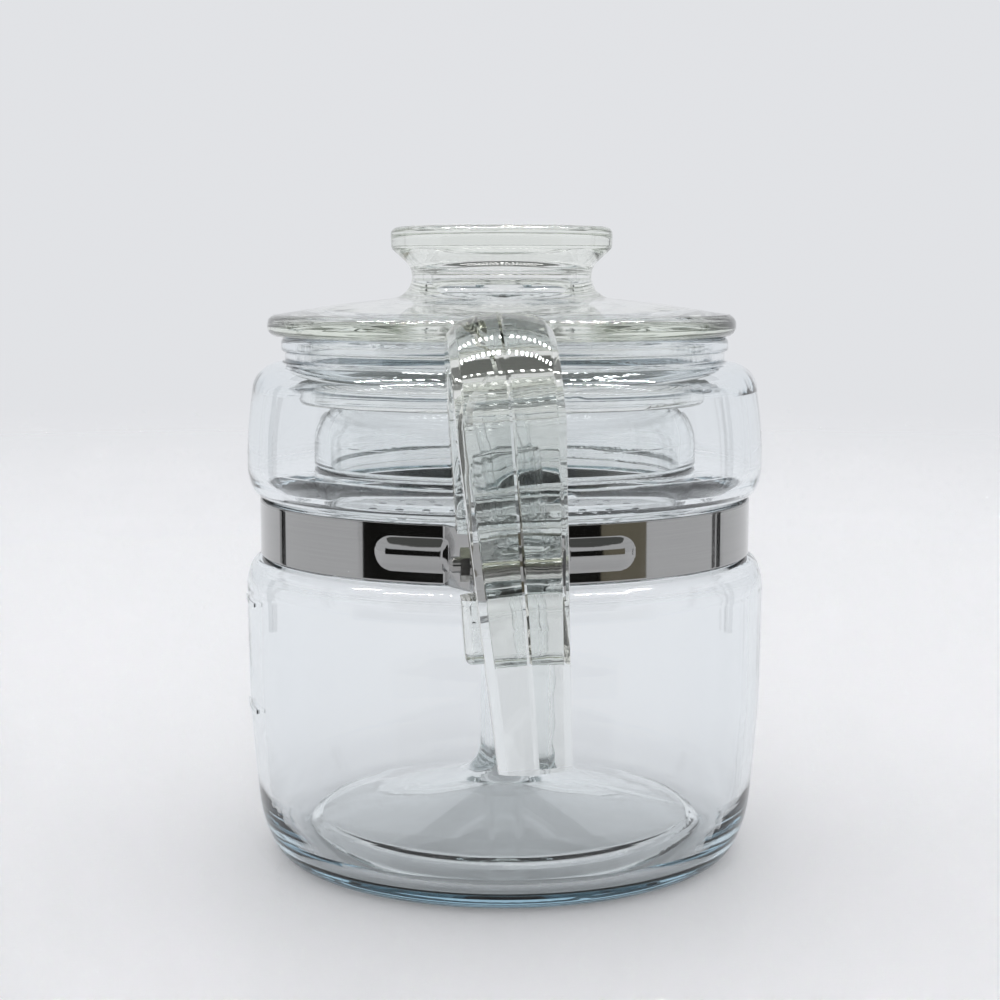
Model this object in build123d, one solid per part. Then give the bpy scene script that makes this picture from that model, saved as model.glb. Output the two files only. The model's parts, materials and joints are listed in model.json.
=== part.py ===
from build123d import *
import math
import os

# Clear glass stove-top percolator, millimetres, +Z up. The origin is the centre of
# the face that the pot stands on. The handle points to -Y and the pour lip to +Y.

# ---------------------------------------------------------------- pot
lower_r = 64.0            # lower chamber, at its widest
upper_step = 0.55         # upper chamber narrower than the lower one
waist_depth = 4.35        # groove that the clamp band lies in
bend_h = 5.6              # height over which each chamber rounds in to that groove
bend_mid = (1.6, 1.3)     # middle of that bend: in from the chamber, away from the groove
base_inset = 12.0         # the flat face it stands on, in from the widest part
waist_low_z = 74.6        # the groove runs from here to just above the band
rim_z = 127.9             # height of the mouth
neck_h = 7.3              # from the shoulder's edge to the mouth
shoulder_w = 9.45         # from the upper chamber in to the neck
shoulder_taper = 2.15     # the upper chamber draws in by this below its shoulder
bead_h = 3.5              # rolled bead round the mouth
bead_proud = 0.9
wall = 2.95               # glass thickness of the chambers
floor_t = 4.0
neck_wall = 2.7
heel_w = 2.8              # the heel's corner, in from the wall
heel_z = 9.0
heel_r = 8.4
flare_z = 38.0            # from here to the waist the wall widens a little
flare = 0.4
lip_offset = 5.7          # from the mouth's wall to the pour lip's axis in the rim plane
lip_bore_r = 8.2
lip_wall = 2.4
lip_lean = 30.0           # degrees from upright
lip_depth = 19.9          # the lip's root below the mouth
fill_line_z = (38.3, 64.3)
fill_line_arc = 14.0      # degrees of the wall each moulded line covers
fill_line_mid = 194.0     # degrees from +X
fill_line_h = 0.9
fill_line_proud = 0.35
fill_line_root = 0.3      # sunk into the wall, so that the two are one piece

# ---------------------------------------------------------------- clamp band
band_t = 0.8
band_h = 13.5
band_play = 0.05          # between the band and the glass
groove_play = 0.4         # groove past the band, above and below
band_gap_half = 13.3      # half the opening at the handle
ear_gap_half = 6.9        # glass half width between the parallel ears
ear_turn_in = 3.25        # the ears turn parallel this far inside the leg's middle
ear_reach = 5.25          # and end this far outside it
ear_corner_r = 3.0
rib_h = 6.4
rib_proud = 1.1
rib_arc = (16.5, 24.5)    # degrees from the handle, centres of the rib's round ends

# ---------------------------------------------------------------- handle
handle_w = 21.4           # width of the hook and its inner leg
handle_tip_w = 14.4       # width at the free end
handle_t = 11.0           # thickness of the hook
handle_tip_t = 8.6
handle_rise = 7.3         # top of the hook above the mouth
handle_tip_drop = 27.8    # free end below the groove
handle_tail_drop = 13.3   # lower end of the inner leg below the groove
hook_r = 17.0             # centreline radius of the arch
grip_slant = 5.0          # degrees the grip leans away from the pot
edge_bevel_w = 1.7        # bevels along the outer face, across it and down the side
edge_bevel_d = 2.2
edge_round = 0.9
inner_round = 1.6         # edges of the inner face
ridge_h = 1.7             # height of the roof shape on the outer face
slope_bulge = 0.045       # each slope of the roof swells by this share of its run
seam_w = 1.0              # mould seam along the ridge
seam_h = 0.25
pot_gap = 0.7             # air between the pot's widest part and the handle
pivot_out = 2.35          # the clamp's pivot, out from the groove
handle_yaw = 4.0          # degrees the handle is turned in its clamp
handle_lean = 3.8         # degrees it stands out of plumb
notch_play = 0.35         # above and below the ears
glass_play = 0.1          # between an ear and the glass
boss_play = 0.35          # between the handle's boss and the pot's waist
boss_inset = 0.6          # boss shorter than the band, above and below
tail_round = 1.6

# ---------------------------------------------------------------- clamp screw
screw_r = 1.75
screw_out = 1.05          # from the leg's middle
screw_hole_play = 0.45
ear_hole_play = 0.25
thread_play = 0.03
screw_tip = 2.3           # length past the nut
head_r = 3.3
head_h = 2.2
slot_w = 0.9
slot_d = 1.1
washer_r = 3.4
washer_t = 0.6
nut_af = 6.4
nut_t = 1.9

# ---------------------------------------------------------------- lid
lid_overhang = 2.6        # flange past the rim bead
lid_edge_t = 4.9
lid_edge_round = 2.35
lid_seat = 0.1            # flange above the rim at rest
dome_rise = 8.3           # top of the dome above the mouth
dome_w = 16.6             # from the knob's neck out to the flat of the dome
knob_r = 27.3
knob_rise = 26.5          # top of the knob above the mouth
knob_edge_h = 5.2
knob_under_h = 4.8        # slope from the knob's edge in to its neck
knob_neck_r = 22.1
knob_bore_r = 17.6
knob_top_t = 4.6
skirt_play = 1.2          # between the skirt and the mouth
skirt_wall = 3.1
skirt_drop = 15.9         # lower edge of the skirt below the mouth
lid_wall = 3.6
lid_rest_x = -0.75        # the loose lid rests this far off the pot's axis

# ---------------------------------------------------------------- pump
pump_play = 0.15          # bell foot above the pot's floor
stem_r = 6.0
stem_bore_r = 3.4
stem_low = 5.9            # top of the stem below the mouth
seat_bead_hold = 2.45     # bead past the basket's bore
seat_bead_h = 3.6
bell_play = 1.0           # between the bell and the mouth it comes out through
bell_edge_h = 5.15        # height of the bell's outer turn above its foot
bell_h = 15.45
bell_wall = 2.5
bell_notches = 2         # one each side
bell_notch_w = 7.0
bell_notch_h = 1.6

# ---------------------------------------------------------------- basket and its lid
basket_play = 4.2         # between the basket and the mouth
basket_wall = 1.7
basket_drop = 52.9        # basket floor below the mouth
basket_h = 21.5
basket_floor_t = 2.6
hub_play = 0.4            # round the stem
hub_wall = 2.1
hub_h = 27.0
seat_play = 0.05
floor_hole_r = 1.1
floor_hole_rings = ((13.0, 8), (20.0, 12), (27.0, 16), (34.0, 20))
cover_wall = 1.8
cover_h = 16.4
cover_round = 10.5
cover_lip = 3.0
cover_lip_play = 0.4
cover_hole_r = 1.3
cover_hole_rings = ((14.0, 8), (22.0, 12), (30.0, 18))

# ---------------------------------------------------------------- places that several pieces share
upper_r = lower_r - upper_step
waist_r = lower_r - waist_depth
neck_r = upper_r - shoulder_w
mouth_r = neck_r - neck_wall
rim_r = neck_r + bead_proud
shoulder_z = rim_z - neck_h
waist_top_z = waist_low_z + band_h + 2 * groove_play
band_mid_z = (waist_low_z + waist_top_z) / 2


def at(r, z):
    """A point of a turned outline: radius and height."""
    return (r, 0, z)


def outline(points, radii):
    """Open line through the points. Each inner corner is rounded by its own radius, or by
    as much as the runs beside it have room for."""
    path = [Vector(*at(r, z)) for r, z in points]
    runs = [after - before for before, after in zip(path, path[1:])]
    slopes = [math.tan(math.radians(a.get_angle(b)) / 2) for a, b in zip(runs, runs[1:])]
    trims = [0.0] + [radius * slope for radius, slope in zip(radii, slopes)] + [0.0]
    room = [min(1.0, run.length / (trims[i] + trims[i + 1] + 1e-9)) for i, run in enumerate(runs)]
    edges = []
    start = path[0]
    for i, slope in enumerate(slopes, start=1):
        trim = trims[i] * min(room[i - 1], room[i])
        into = runs[i - 1].normalized()
        out = runs[i].normalized()
        arc_start = path[i] - into * trim
        arc_end = path[i] + out * trim
        depth = trim / slope * (math.sqrt(1 + slope**2) - 1)
        middle = path[i] + (out - into).normalized() * depth
        if (arc_start - start).length > 1e-4:
            edges.append(Edge.make_line(start, arc_start))
        edges.append(Edge.make_three_point_arc(arc_start, middle, arc_end))
        start = arc_end
    edges.append(Edge.make_line(start, path[-1]))
    return edges


def turned(points, radii):
    """Solid of revolution about Z of a closed outline whose two ends are joined by a line."""
    edges = outline(points, radii)
    edges.append(Edge.make_line(Vector(*at(*points[-1])), Vector(*at(*points[0]))))
    return revolve(make_face(edges), axis=Axis.Z)


def upright(radius, height, z=0.0):
    """Cylinder on the Z axis that starts at height z."""
    return Pos(0, 0, z) * Cylinder(radius, height, align=(Align.CENTER, Align.CENTER, Align.MIN))


def hole_rings(rings, radius, z, depth):
    """Upright drills on circles about Z."""
    drills = []
    for ring_r, count in rings:
        for place in PolarLocations(ring_r, count):
            drills.append(place * upright(radius, depth, z))
    return drills


# ================================================================ pot
upper_bend_z = (waist_top_z + shoulder_z) / 2


def pot_outside():
    """The pot's outer form, from the table to the mouth, filled."""
    foot_r = lower_r - base_inset + heel_r * 0.55
    bend_in, bend_out = bend_mid
    points = [
        (0, 0),
        (foot_r, 0),
        (lower_r - heel_w, heel_z),
        (lower_r - flare, flare_z),
        (lower_r, waist_low_z - bend_h),
        (lower_r - bend_in, waist_low_z - bend_out),
        (waist_r, waist_low_z),
        (waist_r, waist_top_z),
        (upper_r - bend_in, waist_top_z + bend_out),
        (upper_r, waist_top_z + bend_h),
        (upper_r, upper_bend_z),
        (upper_r - shoulder_taper, shoulder_z),
        (neck_r, shoulder_z + 1.3),
        (neck_r, rim_z - bead_h),
        (rim_r, rim_z - bead_h),
        (rim_r, rim_z),
        (0, rim_z),
    ]
    radii = [heel_r, 40.0, 160.0, 13.0, 3.8, 0.35, 0.35, 3.8, 13.0, 90.0, 7.0, 0.8, 0.4, 0.6, 1.5]
    return turned(points, radii)


def pot_inside():
    """The hollow of the pot, open through the mouth."""
    points = [
        (0, floor_t),
        (lower_r - wall - 6.6, floor_t),
        (lower_r - wall - 2.2, floor_t + heel_z),
        (lower_r - wall - flare, flare_z),
        (lower_r - wall, waist_low_z - bend_h),
        (waist_r - wall, waist_low_z + 0.8),
        (waist_r - wall, waist_top_z - 0.8),
        (upper_r - wall, waist_top_z + bend_h),
        (upper_r - wall, upper_bend_z),
        (upper_r - wall - shoulder_taper, shoulder_z - wall),
        (mouth_r, shoulder_z - neck_wall / 2),
        (mouth_r, rim_z + 1),
        (0, rim_z + 1),
    ]
    radii = [9.0, 30.0, 160.0, 7.0, 4.0, 4.0, 7.0, 90.0, 5.0, 1.5, 0.5]
    return turned(points, radii)


def lip_form(radius):
    """Slanting round form of the pour lip, cut off at the rim plane."""
    place = Pos(0, mouth_r + lip_offset, rim_z)
    form = place * Rot(-lip_lean, 0, 0) * Cylinder(radius, 4 * lip_depth)
    window = Box(4 * radius, 8 * radius, lip_depth, align=(Align.CENTER, Align.CENTER, Align.MAX))
    return form & (place * window)


def fill_lines():
    """Short raised lines moulded on the wall, one at each fill level."""
    lines = []
    for z in fill_line_z:
        wall_r = lower_r - flare * (waist_low_z - z) / (waist_low_z - flare_z)
        section = Rectangle(fill_line_root + fill_line_proud, fill_line_h, align=(Align.MIN, Align.CENTER))
        section = Pos(wall_r - fill_line_root, 0, z) * Rot(90, 0, 0) * section
        line = revolve(section, axis=Axis.Z, revolution_arc=fill_line_arc)
        lines.append(Rot(0, 0, fill_line_mid - fill_line_arc / 2) * line)
    return lines


def make_pot():
    outer = pot_outside() + lip_form(lip_bore_r + lip_wall)
    outer = outer + fill_lines()
    return outer - pot_inside() - Pos(0, 0, 0.02) * lip_form(lip_bore_r)


# ================================================================ clamp band
band_inner_r = waist_r + band_play
band_mid_r = band_inner_r + band_t / 2
clamp_pivot = Vector(0, -(waist_r + pivot_out), band_mid_z)
leg_mid_y = max(lower_r, upper_r) + pot_gap + ridge_h / 2 + handle_t / 2


def yawed(x, y):
    """Plan point turned with the handle about the clamp."""
    turned_point = Vector(x, y - clamp_pivot.Y).rotate(Axis.Z, handle_yaw)
    return (turned_point.X, turned_point.Y + clamp_pivot.Y)


def band_end(side):
    """Plan point on the band's middle circle at the edge of its opening."""
    return (side * band_gap_half, -math.sqrt(band_mid_r**2 - band_gap_half**2))


def ear_route(side, inset=0.0):
    """Plan route of an ear's middle surface, moved by inset towards the glass."""
    half = ear_gap_half + glass_play + band_t / 2 - inset
    turn = yawed(side * half, ear_turn_in - leg_mid_y)
    end = yawed(side * half, -ear_reach - leg_mid_y)
    start_x, start_y = band_end(side)
    return (start_x - side * inset * 1.3, start_y), turn, end


def make_ear(side):
    """One bent ear; its strip starts inside the band's own end."""
    overlap = math.asin(band_gap_half / band_mid_r) + math.radians(2.5)
    start = (side * band_mid_r * math.sin(overlap), -band_mid_r * math.cos(overlap))
    bend, turn, end = ear_route(side)
    route = FilletPolyline(start, bend, turn, end, radius=[1.0, 2.5])
    strip = Pos(0, 0, band_mid_z - band_h / 2) * extrude(trace(route, line_width=band_t), band_h)
    tip = Vector(*end)
    tip_edges = [e for e in strip.edges() if (Vector(e.center().X, e.center().Y) - tip).length < 0.1]
    return fillet([e for e in tip_edges if e.length < 2 * band_t], ear_corner_r)


def make_rib(side):
    """Pressed rib: a slot shape wrapped on the band, its outer edge rounded."""
    middle = math.radians(-90 + side * sum(rib_arc) / 2)
    spread = math.radians(rib_arc[1] - rib_arc[0])
    outer_r = band_inner_r + band_t + rib_proud
    outward = Vector(math.cos(middle), math.sin(middle), 0)
    face = Plane(outward * (band_mid_r - 6) + Vector(0, 0, band_mid_z), x_dir=(0, 0, 1), z_dir=outward)
    slot = Rot(0, 0, 90) * SlotCenterToCenter(2 * outer_r * math.sin(spread / 2), rib_h)
    skin = upright(outer_r, 2 * rib_h, band_mid_z - rib_h)
    skin = skin - upright(band_mid_r, 2 * rib_h, band_mid_z - rib_h)
    rib = extrude(face * slot, 12) & skin
    crest = max(rib.faces(), key=lambda f: math.hypot(f.center().X, f.center().Y))
    return fillet(crest.edges(), rib_proud * 0.8)


def screw_place():
    """Frame of the clamp screw: X along it, origin midway between the ears."""
    x, y = yawed(0, -screw_out - leg_mid_y)
    return Location((x, y, band_mid_z), (0, 0, handle_yaw))


def along_screw(radius, start, end):
    """Round bar on the screw's axis between two distances from its middle."""
    bar = Cylinder(radius, end - start, align=(Align.CENTER, Align.CENTER, Align.MIN))
    return screw_place() * Pos(start, 0, 0) * Rot(0, 90, 0) * bar


def make_band():
    ring = upright(band_inner_r + band_t, band_h, band_mid_z - band_h / 2)
    ring = ring - upright(band_inner_r, band_h, band_mid_z - band_h / 2)
    opening = Pos(0, -band_mid_r, band_mid_z) * Box(2 * band_gap_half + 0.8, 20, band_h + 2)
    band = ring - opening
    for side in (-1, 1):
        band = band + make_ear(side) + make_rib(side)
    return band - along_screw(screw_r + ear_hole_play, -20, 20)


# ================================================================ handle
arch_y = leg_mid_y + hook_r
arch_z = rim_z + handle_rise - ridge_h / 2 - handle_t / 2 - hook_r


def bar_section(width, thickness, seamed=True):
    """Cross-section of the bar: X across it, Y towards the outer side with its low ridge."""
    half_w, half_t = width / 2, thickness / 2
    shoulder = Vector(half_w - edge_bevel_w, half_t - ridge_h / 2)
    side = Vector(half_w, shoulder.Y - edge_bevel_d)
    ridge = Vector(0, half_t + ridge_h / 2)
    crown = ridge
    if seamed:
        crown = Vector(seam_w / 2, ridge.Y - ridge_h * seam_w / width)
        ridge = ridge + Vector(0, seam_h)
    run = shoulder - crown
    swell = (crown + shoulder) / 2 + Vector(-run.Y, run.X).normalized() * run.length * slope_bulge
    half = [Edge.make_three_point_arc(crown, swell, shoulder)]
    half.append(Edge.make_line(shoulder, side))
    half.append(Edge.make_line(side, Vector(half_w, -half_t)))
    half.append(Edge.make_line(Vector(half_w, -half_t), Vector(0, -half_t)))
    if seamed:
        half.append(Edge.make_line(ridge, crown))
    section = make_face(half + [edge.mirror(Plane.YZ) for edge in half])
    inner = [v for v in section.vertices() if v.Y < 0 and abs(v.X) > seam_w]
    section = fillet(inner, inner_round)
    bevels = [v for v in section.vertices() if v.Y > 0 and abs(v.X) > seam_w]
    return fillet(bevels, edge_round)


def plumb_handle():
    """The hook standing straight: inner leg, arch and tapering grip."""
    section = bar_section(handle_w, handle_t)
    leg_head = Plane((0, -leg_mid_y, arch_z), x_dir=(1, 0, 0), z_dir=(0, 0, 1))
    plain = leg_head * bar_section(handle_w, handle_t, seamed=False)
    leg = extrude(plain, waist_low_z - handle_tail_drop - arch_z)
    leg = fillet(leg.faces().sort_by(Axis.Z)[0].edges(), tail_round)
    centre = Axis((0, -arch_y, arch_z), (1, 0, 0))
    arch = revolve(leg_head * section, axis=centre, revolution_arc=180 - grip_slant)
    slant = math.radians(grip_slant)
    down = Vector(0, -math.sin(slant), -math.cos(slant))
    outward = Vector(0, -math.cos(slant), math.sin(slant))
    grip_head = Vector(0, -arch_y, arch_z) + outward * hook_r
    grip_len = (grip_head.Z - waist_low_z + handle_tip_drop) / math.cos(slant)
    grip_tip = grip_head + down * grip_len
    head_face = Plane(grip_head, x_dir=(1, 0, 0), z_dir=down) * section
    tip_face = Plane(grip_tip, x_dir=(1, 0, 0), z_dir=down) * bar_section(handle_tip_w, handle_tip_t)
    grip = loft([head_face, tip_face], ruled=True)
    return leg + arch + grip


def ear_lug():
    """Upright form between the two ears, which the glass fills at the clamp."""
    inset = band_t / 2 + glass_play
    points = []
    for side in (-1, 1):
        bend, turn, end = ear_route(side, inset)
        beyond = yawed(side * ear_gap_half, -ear_reach - leg_mid_y - handle_t)
        points.append([bend, turn, beyond])
    route = points[0] + points[1][::-1]
    lug = extrude(make_face(Polyline(*route, close=True)), band_h + 2 * notch_play)
    return Pos(0, 0, band_mid_z - band_h / 2 - notch_play) * lug


def make_handle():
    lean = Pos(*clamp_pivot) * Rot(0, -handle_lean, 0) * Rot(0, 0, handle_yaw) * Pos(*(-clamp_pivot))
    bar = lean * plumb_handle()
    lug = ear_lug()
    slab = Pos(0, -leg_mid_y, band_mid_z) * Box(3 * handle_w, 2 * handle_t, band_h + 2 * notch_play)
    bar = bar - (slab - lug)
    boss_back = upright(waist_r + boss_play, 4 * band_h, band_mid_z - 2 * band_h)
    boss_zone = Pos(0, handle_t / 2 - leg_mid_y, band_mid_z)
    boss_zone = boss_zone * Box(3 * handle_w, handle_t + 1, band_h - 2 * boss_inset)
    boss = (lug & boss_zone) - boss_back
    return bar + boss - along_screw(screw_r + screw_hole_play, -30, 30)


# ================================================================ clamp screw, nut and washers
ear_face = ear_gap_half + glass_play + band_t
washer_face = ear_face + washer_t


def make_screw():
    """Slotted pan-head screw; its head is on the right of the handle."""
    shank = along_screw(screw_r, -washer_face - nut_t - screw_tip, washer_face)
    shank = chamfer(shank.edges().filter_by(GeomType.CIRCLE).sort_by(Axis.X)[0], screw_r * 0.35)
    head = along_screw(head_r, washer_face, washer_face + head_h)
    rim = head.edges().filter_by(GeomType.CIRCLE).sort_by(Axis.X)[-1]
    head = fillet(rim, head_h * 0.6)
    slot = screw_place() * Pos(washer_face + head_h, 0, 0) * Box(2 * slot_d, slot_w, 3 * head_r)
    return shank + head - slot


def make_nut():
    across = RegularPolygon(nut_af / 2, 6, major_radius=False)
    nut = Pos(-washer_face - nut_t, 0, 0) * Rot(0, 90, 0) * extrude(across, nut_t)
    return screw_place() * nut - along_screw(screw_r + thread_play, -30, 30)


def make_washers():
    pair = along_screw(washer_r, -washer_face, -ear_face) + along_screw(washer_r, ear_face, washer_face)
    return pair - along_screw(screw_r + ear_hole_play, -30, 30)


# ================================================================ lid
def make_lid():
    seat = rim_z + lid_seat
    lid_r = rim_r + lid_overhang
    skirt_r = mouth_r - skirt_play
    skirt_in = skirt_r - skirt_wall
    skirt_z = rim_z - skirt_drop
    dome_z = rim_z + dome_rise
    knob_top_z = rim_z + knob_rise
    points = [
        (0, knob_top_z),
        (knob_r, knob_top_z),
        (knob_r - 0.2, knob_top_z - knob_edge_h),
        (knob_neck_r - 0.2, knob_top_z - knob_edge_h - knob_under_h),
        (knob_neck_r + 0.4, dome_z + 1.4),
        (knob_neck_r + dome_w, dome_z - 0.3),
        (lid_r, seat + lid_edge_t),
        (lid_r, seat),
        (skirt_r, seat),
        (skirt_r - 0.3, skirt_z),
        (skirt_in, skirt_z),
        (skirt_in + 0.1, seat + 0.3),
        (knob_bore_r, dome_z - lid_wall),
        (knob_bore_r, knob_top_z - knob_top_t),
        (0, knob_top_z - knob_top_t),
    ]
    radii = [
        1.8,
        1.6,
        5.0,
        5.5,
        120.0,
        lid_edge_round,
        lid_edge_round,
        0.4,
        1.3,
        1.3,
        3.0,
        3.0,
        7.0,
    ]
    return Pos(lid_rest_x, 0, 0) * turned(points, radii)


# ================================================================ pump
foot_z = floor_t + pump_play
basket_floor_z = rim_z - basket_drop
basket_rim_z = basket_floor_z + basket_h
hub_bore_r = stem_r + hub_play


def make_pump():
    stem_top_z = rim_z - stem_low
    seat_bead_r = hub_bore_r + seat_bead_hold
    seat_top = basket_floor_z - seat_play
    seat_low = seat_top - seat_bead_h
    bell_r = mouth_r - bell_play
    bell_edge_z = foot_z + bell_edge_h
    bell_top_z = foot_z + bell_h
    points = [
        (stem_bore_r, stem_top_z),
        (stem_r, stem_top_z),
        (stem_r, seat_top),
        (seat_bead_r, seat_top),
        (seat_bead_r, seat_low + 0.6),
        (stem_r, seat_low - 1.2),
        (stem_r + 0.1, bell_top_z),
        (bell_r - 2.1, bell_edge_z),
        (bell_r, foot_z),
        (bell_r - bell_wall, foot_z),
        (bell_r - bell_wall - 1.7, bell_edge_z - bell_wall),
        (stem_bore_r, bell_top_z - bell_wall - 1.1),
        (stem_bore_r, stem_top_z - 1),
    ]
    pump = turned(points, [0.7, 0.5, 1.0, 1.3, 1.2, 8.0, 3.6, 0.9, 0.9, 2.0, 5.0])
    for place in PolarLocations(bell_r - bell_wall / 2, bell_notches):
        pump = pump - place * Pos(0, 0, foot_z) * Box(3 * bell_wall, bell_notch_w, 2 * bell_notch_h)
    return pump


# ================================================================ basket and its lid
basket_r = mouth_r - basket_play


def make_basket():
    inner_r = basket_r - basket_wall
    hub_r = hub_bore_r + hub_wall
    floor_top = basket_floor_z + basket_floor_t
    points = [
        (hub_bore_r, basket_floor_z),
        (basket_r - 0.6, basket_floor_z),
        (basket_r, basket_rim_z),
        (inner_r, basket_rim_z),
        (inner_r - 0.6, floor_top),
        (hub_r, floor_top),
        (hub_r - 0.3, basket_floor_z + hub_h),
        (hub_bore_r, basket_floor_z + hub_h),
    ]
    basket = turned(points, [3.5, 1.0, 1.0, 2.5, 2.0, 0.8])
    return basket - hole_rings(floor_hole_rings, floor_hole_r, basket_floor_z - 1, basket_floor_t + 2)


def make_cover():
    """Domed spreader: an upturned dish with a lip that drops inside the basket's rim."""
    low = basket_rim_z + seat_play
    top = low + cover_h
    lip_out = basket_r - basket_wall - cover_lip_play
    lip_in = lip_out - cover_wall
    points = [
        (hub_bore_r, top),
        (basket_r - 0.2, top),
        (basket_r, low),
        (lip_out, low),
        (lip_out - 0.2, low - cover_lip),
        (lip_in, low - cover_lip),
        (lip_in + 0.1, top - cover_wall),
        (hub_bore_r, top - cover_wall),
    ]
    cover = turned(points, [cover_round, 0.9, 0.3, 0.8, 0.8, cover_round - cover_wall])
    return cover - hole_rings(cover_hole_rings, cover_hole_r, top - cover_wall - 1, cover_wall + 2)


NODES = {
    "pot": make_pot,
    "clamp_band": make_band,
    "handle": make_handle,
    "clamp_screw": make_screw,
    "clamp_nut": make_nut,
    "clamp_washers": make_washers,
    "lid": make_lid,
    "pump": make_pump,
    "basket": make_basket,
    "basket_lid": make_cover,
}

os.makedirs("parts", exist_ok=True)
for node, make in NODES.items():
    export_step(make(), f"parts/{node}.step")
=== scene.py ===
# %% [markdown]
# # A clear glass percolator, lesson in cells
# The object is a stove-top coffee percolator. A waisted glass pot carries a polished steel
# clamp band, and the band's two ears grip a hooked glass handle. A lid with a hollow knob
# closes the pot. Inside stand a bell-footed stem, a perforated basket and its domed lid.
#
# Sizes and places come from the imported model, which is loaded first and never changed here.
# This file adds what the design leaves open: the finish of every surface, the light and the
# camera.

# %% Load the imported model
import json
import math

import bmesh
import bpy
from mathutils import Matrix, Vector


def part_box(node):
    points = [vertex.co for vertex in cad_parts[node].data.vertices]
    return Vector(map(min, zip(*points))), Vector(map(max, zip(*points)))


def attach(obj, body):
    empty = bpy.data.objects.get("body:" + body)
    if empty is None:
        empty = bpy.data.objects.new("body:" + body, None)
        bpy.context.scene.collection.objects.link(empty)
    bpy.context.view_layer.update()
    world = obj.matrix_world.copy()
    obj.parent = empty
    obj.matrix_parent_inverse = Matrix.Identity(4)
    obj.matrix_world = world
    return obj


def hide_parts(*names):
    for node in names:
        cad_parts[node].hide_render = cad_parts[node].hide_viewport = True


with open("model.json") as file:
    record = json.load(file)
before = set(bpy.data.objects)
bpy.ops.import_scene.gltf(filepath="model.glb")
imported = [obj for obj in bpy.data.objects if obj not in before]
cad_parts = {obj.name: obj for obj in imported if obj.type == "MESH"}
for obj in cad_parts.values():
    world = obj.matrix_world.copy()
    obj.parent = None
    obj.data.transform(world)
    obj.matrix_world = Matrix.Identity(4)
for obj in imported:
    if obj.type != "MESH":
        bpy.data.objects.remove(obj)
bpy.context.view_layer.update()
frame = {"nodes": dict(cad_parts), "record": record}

MM = 0.001
nodes = frame["nodes"]
print("pieces in the frame:", ", ".join(sorted(nodes)))

# %% [markdown]
# ## Camera
# A product photographer stands close to a small object, a little above it, and uses a
# normal lens. Standing close shows the mouth and the foot as open ellipses. The camera
# looks along +Y at the handle, tilted slightly down.

# %% Camera
CAMERA_DISTANCE = 0.470
CAMERA_HEIGHT = 0.1422
CAMERA_SIDE = -0.00115
CAMERA_TILT = math.radians(6.7)
CAMERA_LENS = 68.26

camera_data = bpy.data.cameras.new("camera")
camera_data.lens = CAMERA_LENS
camera_data.sensor_width = 36.0
camera_data.clip_start = 0.01
camera_data.clip_end = 30.0
camera = bpy.data.objects.new("camera", camera_data)
camera.location = (CAMERA_SIDE, -CAMERA_DISTANCE, CAMERA_HEIGHT)
camera.rotation_euler = (math.radians(90) - CAMERA_TILT, 0, 0)
bpy.context.scene.collection.objects.link(camera)
bpy.context.scene.camera = camera
print("camera at", [round(v, 3) for v in camera.location])

# %% [markdown]
# ## Small helpers
# A material is a graph of nodes. Three short helpers keep the graphs readable: one starts a
# material and returns its shader, one adds a node with its values, and one joins sockets.

# %% Helpers for node graphs
def new_material(name):
    """A fresh node material, with its tree and its Principled shader."""
    material = bpy.data.materials.new(name)
    material.use_nodes = True
    return material, material.node_tree, material.node_tree.nodes["Principled BSDF"]


def add(tree, kind, settings=None, **values):
    """One node: settings are its own switches, values are its input sockets by name."""
    node = tree.nodes.new(kind)
    for key, value in (settings or {}).items():
        setattr(node, key, value)
    for key, value in values.items():
        node.inputs[key.replace("_", " ")].default_value = value
    return node


def join(tree, source, target):
    """Link an output socket to an input socket."""
    tree.links.new(source, target)


def new_group(name, inputs, outputs):
    """An empty node group; inputs are (name, kind, value) and outputs are (name, kind)."""
    group = bpy.data.node_groups.new(name, "ShaderNodeTree")
    for socket_name, kind, value in inputs:
        socket = group.interface.new_socket(socket_name, in_out="INPUT", socket_type=kind)
        socket.default_value = value
    for socket_name, kind in outputs:
        group.interface.new_socket(socket_name, in_out="OUTPUT", socket_type=kind)
    return group, group.nodes.new("NodeGroupInput"), group.nodes.new("NodeGroupOutput")


def place_group(tree, group, **values):
    """A copy of a node group in a material, with its own values."""
    node = tree.nodes.new("ShaderNodeGroup")
    node.node_tree = group
    for key, value in values.items():
        node.inputs[key.replace("_", " ")].default_value = value
    return node


FLOAT, COLOUR, VECTOR = "NodeSocketFloat", "NodeSocketColor", "NodeSocketVector"
print("helpers ready")

# %% [markdown]
# ## Shared effects
# Pressed and blown glass is never optically flat. Its skin has slow waves from the mould,
# a few millimetres to a few centimetres long, which bend reflections and whatever is seen
# through it. One group makes that for every glass piece, with its own depth and scale.

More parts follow.
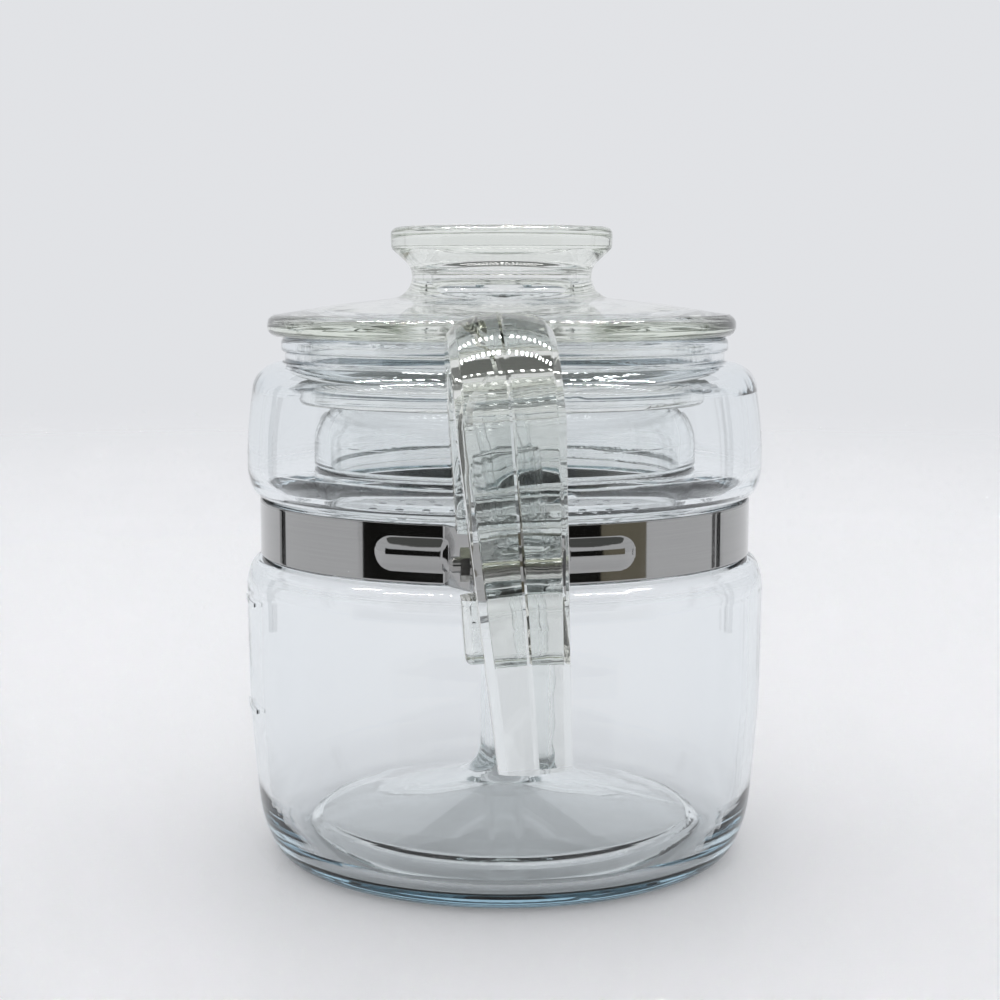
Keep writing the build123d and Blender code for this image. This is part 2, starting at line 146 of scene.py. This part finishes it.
# %% Glass waves
def make_wave_group():
    """Slow unevenness of formed glass, given out as a normal."""
    group, source, result = new_group(
        "formed_glass_waves",
        [("Wave Size", FLOAT, 0.02), ("Depth", FLOAT, 0.0004), ("Flatten", FLOAT, 1.0)],
        [("Normal", VECTOR)],
    )
    where = add(group, "ShaderNodeTexCoord")
    stretch = add(group, "ShaderNodeVectorMath", {"operation": "MULTIPLY"})
    squash = add(group, "ShaderNodeCombineXYZ", X=1.0, Y=1.0)
    join(group, source.outputs["Flatten"], squash.inputs["Z"])
    join(group, where.outputs["Object"], stretch.inputs[0])
    join(group, squash.outputs[0], stretch.inputs[1])
    pitch = add(group, "ShaderNodeMath", {"operation": "DIVIDE"})
    pitch.inputs[0].default_value = 1.0
    join(group, source.outputs["Wave Size"], pitch.inputs[1])
    noise = add(group, "ShaderNodeTexNoise", Detail=1.5, Roughness=0.45)
    join(group, stretch.outputs[0], noise.inputs["Vector"])
    join(group, pitch.outputs[0], noise.inputs["Scale"])
    bump = add(group, "ShaderNodeBump", Strength=1.0)
    join(group, source.outputs["Depth"], bump.inputs["Distance"])
    join(group, noise.outputs["Fac"], bump.inputs["Height"])
    join(group, bump.outputs[0], result.inputs["Normal"])
    return group


glass_waves = make_wave_group()
print("group made:", glass_waves.name)

# %% [markdown]
# A kitchen tool is wiped, not polished: faint smears stay on it. A second group gives a
# mask of such smears, patchy at the size of a thumb and streaked where a cloth passed.

# %% Smears from wiping
def make_smear_group():
    """Patchy mask of wiping smears, 0 where clean and 1 where smeared."""
    group, source, result = new_group(
        "wiping_smears",
        [("Patch Size", FLOAT, 0.03), ("Amount", FLOAT, 0.5)],
        [("Mask", FLOAT)],
    )
    where = add(group, "ShaderNodeTexCoord")
    pitch = add(group, "ShaderNodeMath", {"operation": "DIVIDE"})
    pitch.inputs[0].default_value = 1.0
    join(group, source.outputs["Patch Size"], pitch.inputs[1])
    patches = add(group, "ShaderNodeTexNoise", Detail=5.0, Roughness=0.62, Distortion=0.6)
    join(group, where.outputs["Object"], patches.inputs["Vector"])
    join(group, pitch.outputs[0], patches.inputs["Scale"])
    window = add(group, "ShaderNodeMapRange", {"clamp": True})
    window.inputs["From Min"].default_value = 0.45
    window.inputs["From Max"].default_value = 0.75
    join(group, patches.outputs["Fac"], window.inputs["Value"])
    scaled = add(group, "ShaderNodeMath", {"operation": "MULTIPLY"})
    join(group, window.outputs[0], scaled.inputs[0])
    join(group, source.outputs["Amount"], scaled.inputs[1])
    join(group, scaled.outputs[0], result.inputs["Mask"])
    return group


smears = make_smear_group()
print("group made:", smears.name)

# %% [markdown]
# ## Glass
# Clear borosilicate glass is a transmission shader with an index of 1.47. Its colour shows
# only where light runs a long way inside it, as in the heel, so the tint is an absorption
# in the volume and the surface stays almost white. The surface colour varies very slightly
# with the smears, and so does the roughness.

# %% Glass materials
GLASS_INDEX = 1.474
SMEARED_SHADE = 0.985
SMEARED_ROUGHNESS = 0.035


def glass(name, surface, absorb, density, wave_size, wave_depth):
    """Clear glass: surface colour, colour left after absorption, and its skin's waves."""
    material, tree, shader = new_material(name)
    shader.inputs["IOR"].default_value = GLASS_INDEX
    shader.inputs["Transmission Weight"].default_value = 1.0
    shader.inputs["Metallic"].default_value = 0.0
    marks = place_group(tree, smears, Patch_Size=28 * MM, Amount=0.4)
    tint = add(tree, "ShaderNodeMix", {"data_type": "RGBA"})
    tint.inputs["A"].default_value = (*surface, 1)
    tint.inputs["B"].default_value = (*[v * SMEARED_SHADE for v in surface], 1)
    join(tree, marks.outputs["Mask"], tint.inputs["Factor"])
    join(tree, tint.outputs["Result"], shader.inputs["Base Color"])
    haze = add(tree, "ShaderNodeMapRange")
    haze.inputs["To Max"].default_value = SMEARED_ROUGHNESS
    join(tree, marks.outputs["Mask"], haze.inputs["Value"])
    join(tree, haze.outputs[0], shader.inputs["Roughness"])
    waves = place_group(tree, glass_waves, Wave_Size=wave_size, Depth=wave_depth)
    join(tree, waves.outputs["Normal"], shader.inputs["Normal"])
    absorption = add(tree, "ShaderNodeVolumeAbsorption", Density=density)
    absorption.inputs["Color"].default_value = (*absorb, 1)
    output = next(n for n in tree.nodes if n.type == "OUTPUT_MATERIAL")
    join(tree, absorption.outputs[0], output.inputs["Volume"])
    return material


finishes = {
    "pot_glass": glass("pot_glass", (0.995, 0.998, 1.0), absorb=(0.08, 0.50, 0.68),
                       density=9.0, wave_size=30 * MM, wave_depth=0.06 * MM),
    "lid_glass": glass("lid_glass", (0.998, 1.0, 0.995), absorb=(0.60, 0.75, 0.45),
                       density=3.0, wave_size=18 * MM, wave_depth=0.06 * MM),
    "handle_glass": glass("handle_glass", (0.998, 1.0, 0.997), absorb=(0.60, 0.66, 0.42),
                          density=6.0, wave_size=9 * MM, wave_depth=0.12 * MM),
    "insert_glass": glass("insert_glass", (0.995, 1.0, 1.0), absorb=(0.3, 0.65, 0.68),
                          density=4.0, wave_size=20 * MM, wave_depth=0.05 * MM),
}
print("glass finishes:", ", ".join(finishes))

# %% [markdown]
# ## Steel
# The band is rolled stainless strip with a polished face. Rolling leaves hair lines along
# the strip, here a noise that is long round the pot and fine up and down. They break up the
# roughness and, very faintly, the normal. Smears make it hazier in patches. The band's inner
# face, which shows through the pot, is matt, and its colour is cut to a third as a painted
# shade for the dark it mirrors.

# %% Steel materials
LINES_ROUND = 30.0  # lines per metre round the pot, so each is about 33 mm long
LINE_SHADE = 0.82
# painted shade: share of the colour left on the band's inner face
INNER_PAINTED_SHADE = 0.3
DULL_ADDED_ROUGHNESS = 0.2
SMEARED_SPREAD = 2.2


def steel(name, colour, roughness, line_pitch, line_depth, shaded_and_matt_within=0.0):
    """Polished steel with rolling lines that run round the Z axis.

    Faces nearer the axis than shaded_and_matt_within are matt and get a painted shade: a darker
    colour."""
    material, tree, shader = new_material(name)
    shader.inputs["Metallic"].default_value = 1.0
    where = add(tree, "ShaderNodeTexCoord")
    stretch = add(tree, "ShaderNodeVectorMath", {"operation": "MULTIPLY"})
    stretch.inputs[1].default_value = (LINES_ROUND, LINES_ROUND, 1 / line_pitch)
    join(tree, where.outputs["Object"], stretch.inputs[0])
    lines = add(tree, "ShaderNodeTexNoise", Scale=1.0, Detail=4.0, Roughness=0.7)
    join(tree, stretch.outputs[0], lines.inputs["Vector"])
    marks = place_group(tree, smears, Patch_Size=20 * MM, Amount=0.6)
    base = add(tree, "ShaderNodeMix", {"data_type": "RGBA"})
    base.inputs["A"].default_value = (*colour, 1)
    base.inputs["B"].default_value = (*[v * LINE_SHADE for v in colour], 1)
    join(tree, lines.outputs["Fac"], base.inputs["Factor"])
    plan = add(tree, "ShaderNodeVectorMath", {"operation": "MULTIPLY"})
    plan.inputs[1].default_value = (1, 1, 0)
    join(tree, where.outputs["Object"], plan.inputs[0])
    radius = add(tree, "ShaderNodeVectorMath", {"operation": "LENGTH"})
    join(tree, plan.outputs[0], radius.inputs[0])
    inside = add(tree, "ShaderNodeMath", {"operation": "LESS_THAN"})
    inside.inputs[1].default_value = shaded_and_matt_within
    join(tree, radius.outputs["Value"], inside.inputs[0])
    # Painted shade: the inner face's colour is darkened to stand in for the dark it mirrors;
    # its added roughness is a real matt finish.
    painted_shade_mix = add(tree, "ShaderNodeMix", {"data_type": "RGBA"})
    painted_shade_mix.inputs["B"].default_value = (*[v * INNER_PAINTED_SHADE for v in colour], 1)
    join(tree, inside.outputs[0], painted_shade_mix.inputs["Factor"])
    join(tree, base.outputs["Result"], painted_shade_mix.inputs["A"])
    join(tree, painted_shade_mix.outputs["Result"], shader.inputs["Base Color"])
    rough = add(tree, "ShaderNodeMapRange")
    rough.inputs["To Min"].default_value = roughness
    rough.inputs["To Max"].default_value = roughness * SMEARED_SPREAD
    join(tree, marks.outputs["Mask"], rough.inputs["Value"])
    matt = add(tree, "ShaderNodeMath", {"operation": "MULTIPLY_ADD"})
    matt.inputs[1].default_value = DULL_ADDED_ROUGHNESS
    join(tree, inside.outputs[0], matt.inputs[0])
    join(tree, rough.outputs[0], matt.inputs[2])
    join(tree, matt.outputs[0], shader.inputs["Roughness"])
    bump = add(tree, "ShaderNodeBump", Strength=1.0, Distance=line_depth)
    join(tree, lines.outputs["Fac"], bump.inputs["Height"])
    join(tree, bump.outputs[0], shader.inputs["Normal"])
    return material


BAND_THICK = 0.8 * MM
BAND_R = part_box("clamp_band")[1].x - BAND_THICK / 2
finishes["band_steel"] = steel("band_steel", (0.43, 0.43, 0.425), roughness=0.07,
                               line_pitch=0.4 * MM, line_depth=0.004 * MM, shaded_and_matt_within=BAND_R)
finishes["screw_steel"] = steel("screw_steel", (0.36, 0.355, 0.345), roughness=0.14,
                                line_pitch=0.3 * MM, line_depth=0.006 * MM)
print("steel finishes: band_steel, screw_steel")

# %% [markdown]
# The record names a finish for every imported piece, so one loop dresses them all.

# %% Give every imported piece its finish
slots = {part["node"]: part["material_slot"] for part in frame["record"]["subparts"]}
for name, node in nodes.items():
    node.data.materials.clear()
    node.data.materials.append(finishes[slots[name]])
print("finished:", len(nodes), "pieces")

# %% [markdown]
# ## Clamp band
# The real band is one long strip: it runs round the waist, turns outwards at each end and
# forms the two ears. Two domed ribs are pressed into it beside the ears. A strip like this
# is easiest to make as a grid: walk along its route in plan, and at each step lay one
# rounded cross-section. The ribs are a smooth swelling of the outer face, so the polished
# steel mirrors them softly, which a hard-edged solid can't show.

# %% Route of the strip in plan
BAND_LOW, BAND_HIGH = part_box("clamp_band")
BAND_HALF_H = (BAND_HIGH.z - BAND_LOW.z) / 2
BAND_MID_Z = (BAND_HIGH.z + BAND_LOW.z) / 2
GAP_HALF = 13.3 * MM
EAR_HALF = 7.4 * MM
EAR_YAW = math.radians(4.0)
EAR_PIVOT_Y = -62.0 * MM
EAR_TURN_Y = -67.8 * MM
EAR_END_Y = -76.3 * MM
EAR_BEND_R = 2.5 * MM
BAND_BEND_R = 1.6 * MM
ROUTE_STEP = 0.4 * MM
RING_STEPS = 180


def ear_point(side, y):
    """A plan point on an ear's middle line; the ears are turned a little with the handle."""
    arm = Vector((side * EAR_HALF, y - EAR_PIVOT_Y)).to_3d()
    arm.rotate(Matrix.Rotation(EAR_YAW, 3, "Z"))
    return Vector((arm.x, arm.y + EAR_PIVOT_Y))


def softened(corners, radii, steps=6):
    """Plan points of a line whose inner corners are rounded."""
    line = [corners[0]]
    for before, corner, after, radius in zip(corners, corners[1:], corners[2:], radii):
        into = (corner - before).normalized()
        out = (after - corner).normalized()
        turn = into.angle(out)
        room = min((corner - before).length, (after - corner).length) / 2
        trim = min(radius * math.tan(turn / 2), room)
        for step in range(steps + 1):
            share = step / steps
            start, end = corner - into * trim, corner + out * trim
            line.append(start.lerp(corner, share).lerp(corner.lerp(end, share), share))
    line.append(corners[-1])
    return line


def stepped(line, step):
    """The same line with points an even step apart."""
    points = [line[0]]
    left = step
    for before, after in zip(line, line[1:]):
        length = (after - before).length
        done = 0.0
        while length - done >= left:
            done += left
            points.append(before.lerp(after, done / length))
            left = step
        left -= length - done
    points.append(line[-1])
    return points


def band_route():
    """Plan route of the whole strip, from the left ear's end round to the right one's."""
    gap = math.asin(GAP_HALF / BAND_R)
    ends = []
    for side in (-1, 1):
        bend = Vector((side * GAP_HALF, -BAND_R * math.cos(gap)))
        ends.append([ear_point(side, EAR_END_Y), ear_point(side, EAR_TURN_Y), bend])
    ring = []
    for count in range(1, RING_STEPS):
        angle = gap + (2 * math.pi - 2 * gap) * count / RING_STEPS
        ring.append(Vector((-BAND_R * math.sin(angle), -BAND_R * math.cos(angle))))
    corners = ends[0] + ring + ends[1][::-1]
    bends = [EAR_BEND_R, BAND_BEND_R]
    radii = bends + [0.0] * len(ring) + bends[::-1]
    return stepped(softened(corners, radii), ROUTE_STEP)


route = band_route()
print("strip points:", len(route), "length in mm:", round(len(route) * ROUTE_STEP / MM))

# %% [markdown]
# The cross-section is a flat strip with rolled edges. Only its outer face has many points,
# because the ribs swell there and nowhere else.

# %% Cross-section and ribs
RIB_REACH = 3.7 * MM
RIB_PROUD = 1.25 * MM
RIB_ENDS = (14.0 * MM, 26.0 * MM)
RIB_FULLNESS = 1.1
EDGE_R = 0.3 * MM
OUTER_STEPS, INNER_STEPS, EDGE_STEPS = 40, 10, 6


def strip_section():
    """Rounded cross-section as (height share, side offset); the outer face comes first."""
    flat = 1 - EDGE_R / BAND_HALF_H
    half = BAND_THICK / 2
    section = [(flat * (2 * i / OUTER_STEPS - 1), half) for i in range(OUTER_STEPS + 1)]
    turns = [math.pi * i / EDGE_STEPS for i in range(1, EDGE_STEPS)]
    section += [(flat + (1 - flat) * math.sin(turn), half * math.cos(turn)) for turn in turns]
    section += [(flat * (1 - 2 * i / INNER_STEPS), -half) for i in range(INNER_STEPS + 1)]
    section += [(-flat - (1 - flat) * math.sin(turn), -half * math.cos(turn)) for turn in turns]
    return section


def rib_rise(plan, height):
    """How far the pressed rib lifts the outer face at a plan point and height."""
    along = abs(math.atan2(plan.x, -plan.y)) * BAND_R
    past = max(RIB_ENDS[0] - along, 0.0, along - RIB_ENDS[1])
    reach = math.hypot(past, height) / RIB_REACH
    return RIB_PROUD * max(0.0, 1 - reach**2) ** RIB_FULLNESS


print("section points:", len(strip_section()), "rib height in mm:", round(RIB_PROUD / MM, 2))

# %% [markdown]
# The section is laid at every step of the route, and each ring of points is joined to the
# next by a ring of faces. Near the two ends the section is shortened along a quarter circle,
# which rounds the corners of the ears.

# %% Strip as one mesh
EAR_CORNER_R = 3.0 * MM


def make_strip():
    """The clamp band as one mesh."""
    section = strip_section()
    shape = bmesh.new()
    rings = []
    for i, plan in enumerate(route):
        ahead = route[min(i + 1, len(route) - 1)] - route[max(i - 1, 0)]
        outward = Vector((-ahead.y, ahead.x)).normalized()
        to_end = min(i, len(route) - 1 - i) * ROUTE_STEP
        inset = max(0.0, EAR_CORNER_R - to_end)
        corner = EAR_CORNER_R - math.sqrt(EAR_CORNER_R**2 - min(inset, EAR_CORNER_R) ** 2)
        half_h = BAND_HALF_H - corner
        ring = []
        for share, offset in section:
            height = share * half_h
            rise = rib_rise(plan, height) if abs(plan.y) < BAND_R and plan.y < 0 else 0.0
            spot = plan + outward * (offset + rise)
            ring.append(shape.verts.new((spot.x, spot.y, BAND_MID_Z + height)))
        rings.append(ring)
    count = len(section)
    for first, second in zip(rings, rings[1:]):
        for i in range(count):
            j = (i + 1) % count
            shape.faces.new((first[i], first[j], second[j], second[i]))
    shape.faces.new(rings[0][::-1])
    shape.faces.new(rings[-1])
    bmesh.ops.recalc_face_normals(shape, faces=shape.faces)
    mesh = bpy.data.meshes.new("band_strip")
    shape.to_mesh(mesh)
    shape.free()
    for face in mesh.polygons:
        face.use_smooth = len(face.vertices) == 4
    strip = bpy.data.objects.new("band_strip", mesh)
    bpy.context.scene.collection.objects.link(strip)
    return strip


strip = make_strip()
strip.data.materials.append(finishes["band_steel"])
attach(strip, "pot_and_handle")
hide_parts("clamp_band")
print("strip faces:", len(strip.data.polygons))

# %% [markdown]
# ## Stage
# The table is a wide pale disc. It glows a little with its own colour, which is painted light
# that lifts the shade under and around the pot, and its edge fades into the surroundings, so no
# horizon shows. The surroundings are one pale, slightly cool sky that is a little brighter
# overhead, as in a white room.

# %% Table
TABLE_R = 4.0
TABLE_DROP = 0.3 * MM
TABLE_PAINTED_GLOW = 0.14
TABLE_FADE = (0.4, 1.8)


def make_table():
    """Pale table with faint clouding; it fades out far from the object."""
    mesh = bpy.data.meshes.new("table_top")
    shape = bmesh.new()
    bmesh.ops.create_circle(shape, cap_ends=True, segments=96, radius=TABLE_R)
    shape.to_mesh(mesh)
    shape.free()
    table = bpy.data.objects.new("table_top", mesh)
    table.location.z = -TABLE_DROP
    bpy.context.scene.collection.objects.link(table)
    material, tree, shader = new_material("table_top")
    where = add(tree, "ShaderNodeTexCoord")
    cloud = add(tree, "ShaderNodeTexNoise", Scale=7.0, Detail=4.0, Roughness=0.6)
    join(tree, where.outputs["Object"], cloud.inputs["Vector"])
    tint = add(tree, "ShaderNodeMix", {"data_type": "RGBA"})
    tint.inputs["A"].default_value = (0.885, 0.89, 0.905, 1)
    tint.inputs["B"].default_value = (0.925, 0.93, 0.945, 1)
    join(tree, cloud.outputs["Fac"], tint.inputs["Factor"])
    join(tree, tint.outputs["Result"], shader.inputs["Base Color"])
    # Painted light: the table glows with its own colour to brighten the shade near the pot.
    join(tree, tint.outputs["Result"], shader.inputs["Emission Color"])
    shader.inputs["Emission Strength"].default_value = TABLE_PAINTED_GLOW
    material.cycles.emission_sampling = "NONE"
    shader.inputs["Roughness"].default_value = 0.5
    shader.inputs["Specular IOR Level"].default_value = 0.2
    far = add(tree, "ShaderNodeVectorMath", {"operation": "LENGTH"})
    join(tree, where.outputs["Object"], far.inputs[0])
    fade = add(tree, "ShaderNodeMapRange", {"interpolation_type": "SMOOTHSTEP"})
    fade.inputs["From Min"].default_value = TABLE_FADE[0]
    fade.inputs["From Max"].default_value = TABLE_FADE[1]
    fade.inputs["To Min"].default_value = 1.0
    fade.inputs["To Max"].default_value = 0.0
    join(tree, far.outputs["Value"], fade.inputs["Value"])
    join(tree, fade.outputs[0], shader.inputs["Alpha"])
    table.data.materials.append(material)


make_table()
print("table fades out between", TABLE_FADE, "m")

# %% [markdown]
# The sky lights everything softly from all round, so it is a world shader and not a lamp.
# Two close tones are mixed by height.

# %% Surroundings
HORIZON = (0.755, 0.765, 0.79)
OVERHEAD = (0.78, 0.78, 0.79)


def make_surroundings():
    """Pale sky, a little brighter overhead."""
    world = bpy.data.worlds.new("surroundings")
    bpy.context.scene.world = world
    world.use_nodes = True
    tree = world.node_tree
    where = add(tree, "ShaderNodeTexCoord")
    split = add(tree, "ShaderNodeSeparateXYZ")
    join(tree, where.outputs["Generated"], split.inputs[0])
    rise = add(tree, "ShaderNodeMapRange", {"interpolation_type": "SMOOTHSTEP"})
    rise.inputs["From Min"].default_value = 0.25
    rise.inputs["From Max"].default_value = 0.9
    join(tree, split.outputs["Z"], rise.inputs["Value"])
    sky = add(tree, "ShaderNodeMix", {"data_type": "RGBA"})
    sky.inputs["A"].default_value = (*HORIZON, 1)
    sky.inputs["B"].default_value = (*OVERHEAD, 1)
    join(tree, rise.outputs[0], sky.inputs["Factor"])
    join(tree, sky.outputs["Result"], tree.nodes["Background"].inputs["Color"])


make_surroundings()
print("sky at the horizon:", HORIZON)

# %% [markdown]
# ## Light
# The sky and the table's painted glow give all the soft light. Glass and polished steel show by
# what they mirror and bend, so they also need things to mirror: a low dark screen in front of
# the object, a grey ceiling, three dark posts at the sides, and two rows of small lamps under
# the ceiling for the bright dotted lines on the hook and the lid. Only mirrored and bent
# rays see these panels, so they cast no shadow and throw no light on the table.

# %% Panel maker
def panel(name, squares, grey, strength=1.0):
    """Flat squares that only reflections and refractions see.

    squares are (centre, width, height, facing)."""
    shape = bmesh.new()
    for centre, width, height, facing in squares:
        turn = Vector(facing).to_track_quat("Z", "Y").to_matrix().to_4x4()
        size = Matrix.Diagonal((width, height, 1, 1))
        bmesh.ops.create_grid(shape, x_segments=1, y_segments=1, size=0.5,
                              matrix=Matrix.Translation(centre) @ turn @ size)
    mesh = bpy.data.meshes.new(name)
    shape.to_mesh(mesh)
    shape.free()
    item = bpy.data.objects.new(name, mesh)
    bpy.context.scene.collection.objects.link(item)
    material, tree, shader = new_material(name)
    shader.inputs["Base Color"].default_value = (0, 0, 0, 1)
    shader.inputs["Specular IOR Level"].default_value = 0.0
    shader.inputs["Emission Color"].default_value = (*grey, 1)
    shader.inputs["Emission Strength"].default_value = strength
    material.cycles.emission_sampling = "NONE"
    item.data.materials.append(material)
    item.visible_camera = False
    item.visible_diffuse = False
    item.visible_shadow = False
    print("panel:", name, "squares:", len(squares))


# %% [markdown]
# The screen is low and ends level with the lid's knob, so the upright glass and the band
# mirror it and the sloping lid mirrors the ceiling instead. Its right end is only dim and a
# little warm, which gives the band an olive tone there. The posts draw the dark bars near
# the band's ends.

# %% Screen, ceiling and posts
SCREEN_DISTANCE = 0.40
SCREEN_MID_Z = 0.075
SCREEN_HEIGHT = 0.16
SQUARE_SPAN = 8
CEILING_HEIGHT = 1.2
CEILING_SIZE = 3.2
POSTS = ((-115, 0.33, 0.026), (107.4, 0.333, 0.020), (103, 0.34, 0.010))
POST_MID_Z = 0.10
POST_HEIGHT = 0.21


def bearing(degrees, distance, height):
    """A place seen from the object at an angle from -Y, positive towards +X."""
    angle = math.radians(degrees)
    return (distance * math.sin(angle), -distance * math.cos(angle), height)


def front_screen(start, end):
    """Upright squares side by side in front of the object, between two bearings."""
    count = round((end - start) / SQUARE_SPAN)
    step = (end - start) / count
    width = 2 * SCREEN_DISTANCE * math.tan(math.radians(step / 2)) + 1 * MM
    squares = []
    for i in range(count):
        spot = bearing(start + (i + 0.5) * step, SCREEN_DISTANCE, SCREEN_MID_Z)
        squares.append((spot, width, SCREEN_HEIGHT, (-spot[0], -spot[1], 0)))
    return squares


def side_posts():
    """Upright narrow squares; POSTS holds each one's bearing, distance and width."""
    squares = []
    for degrees, distance, width in POSTS:
        spot = bearing(degrees, distance, POST_MID_Z)
        squares.append((spot, width, POST_HEIGHT, (-spot[0], -spot[1], 0)))
    return squares


panel("dark_front", front_screen(-63, 41), (0.010, 0.010, 0.009))
panel("dim_front", front_screen(41, 62), (0.22, 0.20, 0.15))
ceiling = ((0, -0.2, CEILING_HEIGHT), CEILING_SIZE, CEILING_SIZE, (0, 0, -1))
panel("grey_ceiling", [ceiling], (0.13, 0.135, 0.13))
panel("dark_posts", side_posts(), (0.012, 0.012, 0.012))

# %% [markdown]
# Each lamp is one small bright square. Only its mirror image counts, and polished glass
# mirrors just a few percent of what falls on it, so the lamps are very strong.

# %% Lamps under the ceiling
LAMP_HEIGHT = 1.1
LAMP_ROWS = (0.19, -0.20)
LAMP_PITCH = 0.065
LAMP_LENGTH, LAMP_WIDTH = 0.026, 0.085
LAMPS_EACH_SIDE = 12
LAMP_STRENGTH = 150

lamps = []
for row_y in LAMP_ROWS:
    for count in range(-LAMPS_EACH_SIDE, LAMPS_EACH_SIDE + 1):
        spot = (LAMP_PITCH * count, row_y, LAMP_HEIGHT)
        lamps.append((spot, LAMP_LENGTH, LAMP_WIDTH, (0, 0, -1)))
panel("lamp_rows", lamps, (1, 1, 1), strength=LAMP_STRENGTH)

# %% [markdown]
# ## Light paths
# A look through the whole pot crosses more than twenty glass faces. The path limits are
# raised to let light through them all.

# %% Light paths
cycles = bpy.context.scene.cycles
cycles.max_bounces = 40
cycles.transmission_bounces = 40
cycles.glossy_bounces = 12
cycles.transparent_max_bounces = 12
cycles.sample_clamp_indirect = 6.0
bpy.context.scene.view_settings.view_transform = "Standard"
print("bounces:", cycles.max_bounces)
